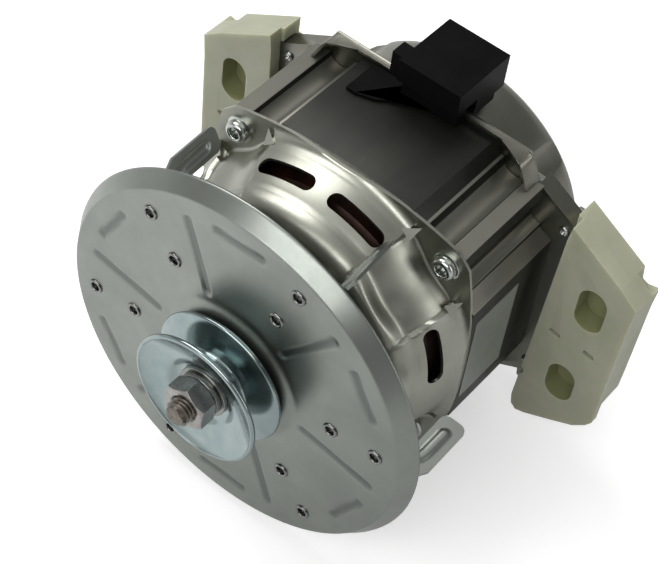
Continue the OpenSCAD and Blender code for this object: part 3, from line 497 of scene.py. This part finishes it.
def pulley_half(name, node, side, rim_r):
    """A drawn pulley half with a rolled rim. Side is -1 for the front half and 1 for the rear one."""
    sheet = 1.2
    web_y = 1.1 if side > 0 else 1.3
    back_y = web_y - sheet
    rim_y = 7.0
    roll_r = 1.1
    groove_side = [(SEAT_BORE_R, back_y), (13.6, back_y)] + arc(13.6, back_y + 0.9, 0.9, -90, 0, 4)
    groove_side += [(14.5, 2.4)] + arc(15.7, 2.5, 1.2, 180, 104, 4)
    groove_side += arc(rim_r - roll_r, rim_y - 0.4, roll_r, -60, 100, 10)
    dish_side = [(rim_r - 1.9, rim_y - 0.05), (17.4, 4.75), (16.0, 4.45), (14.9, 4.0), (14.0, 3.35)]
    dish_side += [(13.4, 2.65), (12.7, web_y + 0.8), (11.9, web_y + 0.25), (11.0, web_y)]
    dish_side += [(SEAT_BORE_R, web_y)]
    bm = spun(groove_side + dish_side, steps=144)
    if side < 0:
        bmesh.ops.scale(bm, vec=(1, -1, 1), verts=bm.verts)
        bmesh.ops.recalc_face_normals(bm, faces=bm.faces)
    return stands_for(finished(name, bm, pulley_zinc, 40), "pulley_zinc", node)


def threaded_shaft():
    """The shaft with its cut thread: a ridge is wound round a thinner end, and every end is closed."""
    core_r = THREAD_R - 0.95
    neck_r = THREAD_R - 0.1
    stub_r, seat_r, journal_r, rotor_r = 0.01, 6.0, 8.5, 10.0
    rear_y = 149.4
    bm = spun([
        (stub_r, THREAD_TIP_Y), (THREAD_R - 1.3, THREAD_TIP_Y), (core_r, THREAD_TIP_Y + 0.35),
        (core_r, THREAD_END_Y), (neck_r, THREAD_END_Y + 0.4), (neck_r, -1.0), (seat_r, -1.0),
        (seat_r, 2.3), (journal_r, 2.3), (journal_r, 58.6), (rotor_r, 58.8), (rotor_r, 129.4),
        (journal_r, 129.6), (journal_r, 148.6), (7.7, rear_y), (stub_r, rear_y),
    ], steps=72, closed=False)
    turns = 8
    per_turn = 40
    pitch = THREAD_PITCH
    root_r = THREAD_R - THREAD_DEPTH
    crest_r = THREAD_R - 0.08
    start_y = THREAD_TIP_Y + 0.3
    profile = [(root_r, -pitch * 0.49), (crest_r, -pitch * 0.09), (THREAD_R, 0.0),
               (crest_r, pitch * 0.09), (root_r, pitch * 0.49)]
    verts = [bm.verts.new((r * MM, (start_y + pitch * 0.5 + y) * MM, 0)) for r, y in profile]
    edges = [bm.edges.new(pair) for pair in zip(verts, verts[1:] + verts[:1])]
    wound = bmesh.ops.spin(
        bm, geom=verts + edges, cent=(0, 0, 0), axis=AXLE, dvec=(0, pitch / per_turn * MM, 0),
        angle=turns * 2 * math.pi, steps=turns * per_turn, use_merge=False, use_normal_flip=False,
        use_duplicate=False,
    )
    last_edges = [g for g in wound["geom_last"] if isinstance(g, bmesh.types.BMEdge)]
    bmesh.ops.contextual_create(bm, geom=edges)
    bmesh.ops.contextual_create(bm, geom=last_edges)
    for end_y in (THREAD_TIP_Y, rear_y):
        rim = [e for e in bm.edges if e.is_boundary and abs(e.verts[0].co.y / MM - end_y) < 0.001]
        bmesh.ops.contextual_create(bm, geom=rim)
    bmesh.ops.recalc_face_normals(bm, faces=bm.faces)
    return stands_for(finished("threaded_shaft", bm, shaft_steel, 40), "shaft_steel", "shaft")


# Fan blades

BLADE_TILT = 9.6
BLADE_LEAN = 4.0
BLADE_OFFSET = 5.5
BLADE_PIVOT_R = 64.0
BLADE_FOOT_Y = FAN_FACE_Y + FAN_SHEET
LEAF_IN_R = 49.7
LEAF_OUTLINE = (
    [(LEAF_IN_R, 0.4), (73.6, 0.4), (76.8, 5.9), (78.5, 7.1), (80.5, 10.5)]
    + arc(77.5, 30.5, 3.0, 0, 90, 6) + arc(73.3, 30.5, 3.0, 90, 180, 6)
    + arc(66.3, 17.0, 4.0, 0, -90, 6) + arc(LEAF_IN_R + 4.0, 9.0, 4.0, 90, 180, 6)
)
# The sheet that the leaf is cut from, and the bead pressed along a line of it
LEAF_MIDDLE = (60.5, 17.0)
LEAF_HALF = (21.5, 18.0)
LEAF_BEAD = [(57.0, 7.0), (64.0, 7.6)] + arc(66.0, 16.8, 9.2, -78, 0, 6) + [(75.3, 26.5)]
LEAF_BEAD_R = 2.4
LEAF_BEAD_SLOPE = 0.6
LEAF_BEAD_DEPTH = 0.75


def line_distance(x, y, line):
    """Distance of a point from a line of points."""
    best = 1e9
    for (x0, y0), (x1, y1) in zip(line, line[1:]):
        dx, dy = x1 - x0, y1 - y0
        t = max(0.0, min(1.0, ((x - x0) * dx + (y - y0) * dy) / (dx * dx + dy * dy)))
        best = min(best, math.hypot(x - x0 - t * dx, y - y0 - t * dy))
    return best


def flat_prism(outline, low, high):
    """A bmesh prism from an outline in X and Y, in millimetres."""
    bm = bmesh.new()
    face = bm.faces.new([bm.verts.new((x * MM, y * MM, low * MM)) for x, y in outline])
    grown = bmesh.ops.extrude_face_region(bm, geom=[face])["geom"]
    moved = [g for g in grown if isinstance(g, bmesh.types.BMVert)]
    bmesh.ops.translate(bm, verts=moved, vec=(0, 0, (high - low) * MM))
    bmesh.ops.recalc_face_normals(bm, faces=bm.faces)
    return bm


def temporary(name, bm):
    """A bmesh as an object that is only used to shape another."""
    mesh = bpy.data.meshes.new(name)
    bm.to_mesh(mesh)
    bm.free()
    obj = bpy.data.objects.new(name, mesh)
    bpy.context.scene.collection.objects.link(obj)
    return obj


def carved(body, tool, operation):
    """Cuts or keeps what a tool covers, and returns the result as a bmesh. Both objects are removed."""
    cut = body.modifiers.new("cut", "BOOLEAN")
    cut.operation = operation
    cut.object = tool
    cut.solver = "EXACT"
    bpy.context.view_layer.update()
    made = body.evaluated_get(bpy.context.evaluated_depsgraph_get())
    bm = bmesh.new()
    bm.from_mesh(made.to_mesh())
    made.to_mesh_clear()
    bpy.data.objects.remove(body)
    bpy.data.objects.remove(tool)
    return bm


def blade_leaf():
    """The standing leaf with its pressed bead, in its own plane."""
    bm = bmesh.new()
    bmesh.ops.create_grid(bm, x_segments=74, y_segments=60, size=1.0)
    for vert in bm.verts:
        u = LEAF_MIDDLE[0] + LEAF_HALF[0] * vert.co.x
        v = LEAF_MIDDLE[1] + LEAF_HALF[1] * vert.co.y
        inward = 1 - line_distance(u, v, LEAF_BEAD) / LEAF_BEAD_R
        vert.co = Vector((u, v, LEAF_BEAD_DEPTH * eased(inward / LEAF_BEAD_SLOPE))) * MM
    bmesh.ops.solidify(bm, geom=bm.faces[:], thickness=BLADE_SHEET * MM)
    bmesh.ops.recalc_face_normals(bm, faces=bm.faces)
    bmesh.ops.translate(bm, verts=bm.verts, vec=(0, 0, -BLADE_SHEET / 2 * MM))
    body = temporary("leaf", bm)
    tool = temporary("leaf_outline", flat_prism(LEAF_OUTLINE, -6, 6))
    return carved(body, tool, "INTERSECT")


def blade_foot():
    """The foot under the disc, with its rivet holes left under the rivet heads."""
    foot = [(40, -4.0), (LEAF_IN_R, -4.2), (71.3, -7.1), (71.3, 4.0), (70.3, 5.0), (41, 5.0), (40, 4.0)]
    bm = flat_prism([(x, -z) for x, z in foot], 0, BLADE_SHEET)
    upright = Matrix.Rotation(math.radians(-90), 3, "X")
    bmesh.ops.rotate(bm, verts=bm.verts, cent=(0, 0, 0), matrix=upright)
    bmesh.ops.translate(bm, verts=bm.verts, vec=(0, BLADE_FOOT_Y * MM, 0))
    body = temporary("foot", bm)
    holes = bmesh.new()
    for r in RIVET_RADII:
        join_into(holes, drill(r, 0, RIVET_HOLE_R, 0, 30))
    return carved(body, temporary("holes", holes), "DIFFERENCE")


def fan_blades():
    """Six bent sheets with a pressed bead."""
    leaf = blade_leaf()
    turn = Matrix.Rotation(math.radians(BLADE_LEAN), 4, "X")
    tilt = Matrix.Rotation(math.radians(BLADE_TILT), 4, "Y")
    place = Matrix.Translation(Vector((BLADE_PIVOT_R, BLADE_FOOT_Y, -BLADE_OFFSET)) * MM)
    back = Matrix.Translation(Vector((-BLADE_PIVOT_R, 0, 0)) * MM)
    leaf.transform(place @ tilt @ turn @ back)
    join_into(leaf, blade_foot())
    mesh = bpy.data.meshes.new("one_blade")
    leaf.to_mesh(mesh)
    leaf.free()
    whole = bmesh.new()
    for k in range(BLADES):
        one = bmesh.new()
        one.from_mesh(mesh)
        one.transform(Matrix.Rotation(math.radians(-(BLADE_ANGLE + k * 360 / BLADES)), 4, "Y"))
        join_into(whole, one)
    bpy.data.meshes.remove(mesh)
    obj = finished("beaded_blades", whole, fan_sheet, 40)
    rounded_edges(obj, 0.2, 1, 50)
    return stands_for(obj, "fan_sheet", "fan_blades")


# Front cap

BOWL_FRONT_Y = 38.0
FLANGE_Y = 68.4
BOWL_R = 62.0
BOWL_TAPER = 6.0
SHOULDER = 10.0
FILLET = 5.0
DENT_FILLET = 1.6
DENT_EDGE = 1.8
DENT_MIDDLE = 2.8
DENT_HALF_W = 16.0
CORNER_R = 75.5
FLANGE_HALF_W = 63.0
SIDE_R = 190.0
CAP_SHEET = 1.2
FILLET_STEPS = 9
FLANGE_STEPS = 8
HUB_R = 21.65
HUB_IN_R = 20.05
HUB_BORE_R = 15.4
HUB_FRONT_Y = 30.8
HUB_BACK_Y = 44.0
# Vent slots, turned from mid side. Their place is a distance from the axis, inside the wall, and Y
VENT_HALF = 9.4
VENT_END_R = 3.1
VENT_TURN = 15.4
VENT_PLACE = (48, 55.4)
BOLT_HOLE_R = 2.8
# Corners of the gusset beside a dent: turn from the dent's middle, radius and Y
GUSSET = ((17.5, 62.4, 64.4), (13.5, 66.4, 68.3), (12.6, 61.6, 63.8), (15.0, 62.0, 68.5))


def flange_reach(angle):
    """Distance from the axis to the edge of the front flange, at an angle in radians."""
    reach = CORNER_R
    for k in range(4):
        a = angle - k * math.pi / 2
        c = FLANGE_HALF_W - SIDE_R
        inside = SIDE_R ** 2 - (c * math.sin(a)) ** 2
        far = c * math.cos(a) + math.sqrt(max(inside, 0.0))
        if math.cos(a) > 0:
            reach = min(reach, far)
    return reach


def bowl_side(wall):
    """Outline of the bowl from its hub to the start of the fillet, moved inwards by a wall."""
    shoulder_r = BOWL_R - BOWL_TAPER - SHOULDER
    side = [(HUB_R - 0.4, BOWL_FRONT_Y + wall), (30, BOWL_FRONT_Y + wall), (38, BOWL_FRONT_Y + wall)]
    side += arc(shoulder_r, BOWL_FRONT_Y + SHOULDER, SHOULDER - wall, -90, 0, 14)
    top = FLANGE_Y - FILLET
    start = BOWL_FRONT_Y + SHOULDER
    for k in range(1, 11):
        y = start + (top - start) * k / 10
        u = (y - start) / (FLANGE_Y - start)
        side.append((BOWL_R - BOWL_TAPER + BOWL_TAPER * (2 * u - u * u) - wall, y))
    return side


def cap_place(row, angle):
    """Radius and Y of a row of the cap at an angle, with its dents, fillet and flange."""
    kind, value, wall = row
    fillet_y = FLANGE_Y - FILLET
    r, y = value if kind == "side" else (BOWL_R - wall, fillet_y)
    off = (angle % (math.pi / 2)) - math.pi / 4
    lateral = abs((r + wall) * math.sin(off))
    inside = eased((DENT_HALF_W + 0.5 - lateral) / 1.0)
    hollow = 0.5 + 0.5 * math.cos(math.pi * min(lateral / DENT_HALF_W, 1.0))
    dented = r - DENT_EDGE - DENT_MIDDLE * hollow
    if kind == "side":
        return r + (dented - r) * inside * eased((y - BOWL_FRONT_Y - 1.0) / 8.0), y
    reach = flange_reach(angle)
    foot_r = BOWL_R - wall + (dented - BOWL_R + wall) * inside
    size = (FILLET + wall) + (DENT_FILLET - FILLET) * inside
    room = max(0.0, min(1.0, (foot_r + size - reach) / size))
    most = math.acos(room) if reach < foot_r + size else math.pi / 2
    if kind == "fillet":
        a = most * value
        y = FLANGE_Y + wall - size + size * math.sin(a)
        return foot_r + size * (1 - math.cos(a)), max(y, fillet_y)
    end_r = foot_r + size * (1 - math.cos(most))
    end_y = FLANGE_Y + wall - size + size * math.sin(most)
    return end_r + (reach - end_r) * value, end_y + (FLANGE_Y + wall - end_y) * min(1.0, 2 * value)


def cap_shell():
    """The drawn sheet as a bmesh, with soft corner dents and a fillet that they cut."""
    rows = []
    for wall in (0.0, CAP_SHEET):
        part = [("side", p, wall) for p in bowl_side(wall)]
        part += [("fillet", k / FILLET_STEPS, wall) for k in range(1, FILLET_STEPS + 1)]
        part += [("flange", k / FLANGE_STEPS, wall) for k in range(1, FLANGE_STEPS + 1)]
        rows += part if wall == 0 else part[::-1]
    # Every row is spun at a radius of its own first, which tells it again when it is shaped
    first_r = 10
    bm = spun([(first_r + k, 1.0 + (k % 7) * 0.1) for k in range(len(rows))], steps=480)
    for vert in bm.verts:
        row = rows[round(math.hypot(vert.co.x, vert.co.z) / MM) - first_r]
        angle = math.atan2(vert.co.z, vert.co.x)
        r, y = cap_place(row, angle)
        vert.co = Vector((r * math.cos(angle), y, r * math.sin(angle))) * MM
    bmesh.ops.remove_doubles(bm, verts=bm.verts, dist=0.004 * MM)
    bmesh.ops.dissolve_degenerate(bm, dist=0.002 * MM, edges=bm.edges)
    bmesh.ops.recalc_face_normals(bm, faces=bm.faces)
    return bm


def cap_cutter():
    """Eight vent slots and four bolt holes."""
    tool = bmesh.new()
    outline = arc(VENT_HALF, 0, VENT_END_R, -90, 90, 10) + arc(-VENT_HALF, 0, VENT_END_R, 90, 270, 10)
    for side in range(4):
        for turn in (-VENT_TURN, VENT_TURN):
            slot = flat_prism(outline, 0, 20)
            slot.transform(Matrix.Rotation(math.radians(90), 4, "Y"))
            slot.transform(Matrix.Translation(Vector((*VENT_PLACE, 0)) * MM))
            slot.transform(Matrix.Rotation(math.radians(-(90 * side + turn)), 4, "Y"))
            bmesh.ops.recalc_face_normals(slot, faces=slot.faces)
            join_into(tool, slot)
    for x, z in BOLT_PLACES:
        join_into(tool, drill(x, z, BOLT_HOLE_R, FLANGE_Y - 3, 72))
    return tool


def front_cap():
    """Drawn bowl with vents and a square flange, a gusset at each side of a dent, and a bearing hub."""
    cap = carved(temporary("bowl", cap_shell()), temporary("vents", cap_cutter()), "DIFFERENCE")
    for k in range(4):
        for side in (-1, 1):
            corners = [point(45 + 90 * k + side * off, r, y) for off, r, y in GUSSET]
            made = bmesh.ops.convex_hull(cap, input=[cap.verts.new(corner) for corner in corners])
            faces = [g for g in made["geom"] if isinstance(g, bmesh.types.BMFace)]
            bmesh.ops.recalc_face_normals(cap, faces=faces)
    hub = [(HUB_BORE_R, HUB_FRONT_Y), (HUB_R - 1.05, HUB_FRONT_Y), (HUB_R, HUB_FRONT_Y + 1)]
    hub += [(HUB_R, HUB_BACK_Y), (HUB_IN_R, HUB_BACK_Y), (HUB_IN_R, HUB_FRONT_Y + CAP_SHEET)]
    join_into(cap, spun(hub + [(HUB_BORE_R, HUB_FRONT_Y + CAP_SHEET)], steps=128))
    obj = finished("drawn_front_cap", cap, cap_steel, 42)
    return stands_for(obj, "cap_steel", "front_end_cap")


def through_bolts():
    """Round heads with a deep recess on a flange, and long shanks."""
    seat = FLANGE_Y
    outline = [(0.01, seat - 0.9), (2.3, seat - 0.9)] + arc(2.95, seat - 3.55, 0.65, 180, 270, 4)
    outline += arc(2.9, seat - 2.5, 1.7, -80, 0, 6) + [(4.6, seat - 1.2)]
    outline += [(5.4, seat - 0.95), (5.6, seat - 0.8), (5.6, seat), (2.5, seat)]
    outline += [(2.5, BOLT_END_Y - 0.5), (2.0, BOLT_END_Y), (0.01, BOLT_END_Y)]
    joined = bmesh.new()
    for x, z in BOLT_PLACES:
        bm = spun(outline, steps=48)
        bmesh.ops.translate(bm, verts=bm.verts, vec=(x * MM, 0, z * MM))
        join_into(joined, bm)
    return stands_for(finished("recessed_bolts", joined, zinc_bolt, 40), "zinc_bolt", "through_bolts")


def mount_block(node):
    """A moulded block with soft edges. The faces inside its pockets are marked for a painted shade."""
    obj = merged_copy(node, ivory, 40)
    mark = obj.data.attributes.new("pocket", "FLOAT", "FACE")
    for face in obj.data.polygons:
        x, y, z = (c / MM for c in face.center)
        depth = y - BLOCK_FRONT_Y
        for px, pz, half in BLOCK_POCKETS:
            past = max(abs(z - pz) - half + POCKET_END_R, 0.0)
            if math.hypot(abs(x) - px, past) < POCKET_END_R + 0.2 and 0.2 < depth < POCKET_DEPTH:
                mark.data[face.index].value = 1.0
    rounded_edges(obj, 1.1, 3)
    return stands_for(obj, "ivory_plastic", node)


def core_stack():
    """The stack of sheets. Its corner ledges that face up and down are marked for a painted highlight.
    """
    obj = merged_copy("stator_core", stack_steel, 32)
    mark = obj.data.attributes.new("lit_ledge", "FLOAT", "FACE")
    for face in obj.data.polygons:
        x, z = abs(face.center.x) / MM, abs(face.center.z) / MM
        # Only faces turned up or down get the painted highlight, not the risers between them.
        level = abs(face.normal.z) > 0.6
        if level and x > CORE_CORNER_FROM and CORE_CORNER_FROM < z < CORE_HALF_H - 0.6:
            mark.data[face.index].value = 1.0
    rounded_edges(obj, 0.3, 2)
    return stands_for(obj, "lamination_steel", "stator_core")


def dull_washer(node):
    """A washer in a duller zinc than the bolts."""
    mark = dress(node, 0.25).data.attributes.new("dull", "FLOAT", "POINT")
    for entry in mark.data:
        entry.value = 1.0


fan_disc()
blade_rivets()
fan_blades()
front_cap()
through_bolts()
mount_block("left_mount_block")
mount_block("right_mount_block")
pulley_half("front_pulley_cup", "pulley_front_half", -1, 27.5)
pulley_half("rear_pulley_cup", "pulley_rear_half", 1, 28.0)
threaded_shaft()
dull_washer("flat_washer")
dull_washer("spring_washer")
dress("shaft_nut", 0.25)
dress("rear_end_cap", 0.2, 1, 40)
core_stack()
dress("bolt_nuts", 0.2)
dress("block_screws", 0.15)
dress("block_screw_nuts", 0.2)
dress("plug_housing", 0.6, 3)
dress("plug_base", 0.3)
dress("rating_plate", 0.06)
dress("spacer_sleeve", 0.3)


# Camera, floor and light

CAMERA_PLACE = Vector((239.6, -310.5, 525.9)) * MM
CAMERA_RIGHT = Vector((0.7738, 0.6257, 0.0987))
CAMERA_UP = Vector((-0.5305, 0.5552, 0.6404))
CAMERA_BACK = Vector((0.3459, -0.5480, 0.7616))
FOCAL = 100.87


def place_camera():
    """The photograph's viewpoint."""
    data = bpy.data.cameras.new("camera")
    data.lens = FOCAL
    data.sensor_width = 36
    data.clip_start = 0.01
    camera = bpy.data.objects.new("camera", data)
    turn = Matrix((CAMERA_RIGHT, CAMERA_UP, CAMERA_BACK)).transposed()
    camera.matrix_world = Matrix.Translation(CAMERA_PLACE) @ turn.to_4x4()
    bpy.context.scene.collection.objects.link(camera)
    bpy.context.scene.camera = camera


def softbox(name, place, aim, size, power):
    """A large white lamp that looks at a point. Lengths are in metres, and power is in watts."""
    data = bpy.data.lights.new(name, "AREA")
    data.shape = "RECTANGLE"
    data.size, data.size_y = size
    data.energy = power
    lamp = bpy.data.objects.new(name, data)
    lamp.location = place
    lamp.rotation_euler = (Vector(aim) - Vector(place)).to_track_quat("-Z", "Y").to_euler()
    bpy.context.scene.collection.objects.link(lamp)


def floor():
    """A pale floor that stays white where no shadow falls. Metal mirrors it greyer towards +X."""
    low = cad_box[0][2] - 0.0004
    bm = bmesh.new()
    bmesh.ops.create_grid(bm, x_segments=2, y_segments=2, size=6.0)
    bmesh.ops.translate(bm, verts=bm.verts, vec=(0, 0, low))
    material = bpy.data.materials.new("floor_white")
    material.use_nodes = True
    tree = material.node_tree
    tree.nodes.clear()
    link = tree.links.new
    white = (0.80, 0.80, 0.80, 1)
    out = add(tree, "ShaderNodeOutputMaterial")
    paint = add(tree, "ShaderNodeBsdfDiffuse", {"Color": white})
    quiet = add(tree, "ShaderNodeBsdfDiffuse", {"Color": (0.42, 0.42, 0.42, 1)})
    lift = add(tree, "ShaderNodeEmission", {"Color": (1, 1, 1, 1)})
    place = add(tree, "ShaderNodeTexCoord")
    split = add(tree, "ShaderNodeSeparateXYZ")
    fade = add(tree, "ShaderNodeMapRange", {1: -0.035, 2: 0.04, 3: 1.0, 4: 0.72})
    mirrored = add(tree, "ShaderNodeMix", {2: 1.0}, data_type="FLOAT")
    dimmed = add(tree, "ShaderNodeMix", {0: 1.0, 6: white}, data_type="RGBA", blend_type="MULTIPLY")
    dimmed_lift = add(tree, "ShaderNodeMath", operation="MULTIPLY")
    level = add(tree, "ShaderNodeMapRange", {3: 0.2, 4: 0.45})
    lifted = add(tree, "ShaderNodeAddShader")
    path = add(tree, "ShaderNodeLightPath")
    seen = add(tree, "ShaderNodeMath", operation="MAXIMUM")
    seen_through = add(tree, "ShaderNodeMath", operation="MAXIMUM")
    mix = add(tree, "ShaderNodeMixShader")
    link(path.outputs["Is Camera Ray"], level.inputs[0])
    link(place.outputs["Object"], split.inputs[0])
    link(split.outputs["X"], fade.inputs[0])
    link(path.outputs["Is Glossy Ray"], mirrored.inputs[0])
    link(fade.outputs[0], mirrored.inputs[3])
    link(mirrored.outputs[0], dimmed.inputs[7])
    link(dimmed.outputs[2], paint.inputs["Color"])
    link(level.outputs[0], dimmed_lift.inputs[0])
    link(mirrored.outputs[0], dimmed_lift.inputs[1])
    link(dimmed_lift.outputs[0], lift.inputs["Strength"])
    link(path.outputs["Is Camera Ray"], seen.inputs[0])
    link(path.outputs["Is Glossy Ray"], seen.inputs[1])
    link(seen.outputs[0], seen_through.inputs[0])
    link(path.outputs["Is Transmission Ray"], seen_through.inputs[1])
    link(paint.outputs[0], lifted.inputs[0])
    link(lift.outputs[0], lifted.inputs[1])
    link(seen_through.outputs[0], mix.inputs[0])
    link(quiet.outputs[0], mix.inputs[1])
    link(lifted.outputs[0], mix.inputs[2])
    link(mix.outputs[0], out.inputs["Surface"])
    finished("floor", bm, material, smooth=False)


def studio_world():
    """A pale room: light at the horizon and overhead, greyer between them and towards +X."""
    world = bpy.data.worlds.new("studio")
    world.use_nodes = True
    tree = world.node_tree
    link = tree.links.new
    back = tree.nodes["Background"]
    place = add(tree, "ShaderNodeTexCoord")
    split = add(tree, "ShaderNodeSeparateXYZ")
    ramp = add(tree, "ShaderNodeValToRGB")
    # Height, from straight down at 0 to straight up at 1, and brightness
    stops = ((0.0, 0.85), (0.5, 0.92), (0.60, 0.85), (0.72, 0.30), (0.84, 0.35), (1.0, 0.8))
    shift = add(tree, "ShaderNodeMapRange", {1: -1.0, 2: 1.0})
    while len(ramp.color_ramp.elements) < len(stops):
        ramp.color_ramp.elements.new(0.5)
    for element, (at, level) in zip(ramp.color_ramp.elements, stops):
        element.position = at
        element.color = (level, level, level, 1)
    link(place.outputs["Generated"], split.inputs[0])
    link(split.outputs["Z"], shift.inputs[0])
    link(shift.outputs[0], ramp.inputs[0])
    side = add(tree, "ShaderNodeMapRange", {1: -0.2, 2: 0.8, 3: 1.0, 4: 0.42})
    shade = add(tree, "ShaderNodeMix", {0: 1.0}, data_type="RGBA", blend_type="MULTIPLY")
    link(split.outputs["X"], side.inputs[0])
    link(ramp.outputs[0], shade.inputs[6])
    link(side.outputs[0], shade.inputs[7])
    link(shade.outputs[2], back.inputs["Color"])
    back.inputs["Strength"].default_value = 0.85
    bpy.context.scene.world = world


place_camera()
floor()
studio_world()
softbox("key", (-0.7, 0.2, 1.1), (0, 0.06, 0), (0.8, 0.8), 9.0)
softbox("front", (-0.3, -1.2, 0.7), (0, 0.05, 0), (0.9, 0.6), 1.2)
softbox("right", (1.1, 0.3, 0.5), (0, 0.08, 0), (0.25, 0.9), 2.0)
softbox("over_front", (0.15, -0.88, 1.05), (0, 0, 0), (1.3, 0.42), 8.0)
bpy.context.scene.view_settings.view_transform = "Standard"
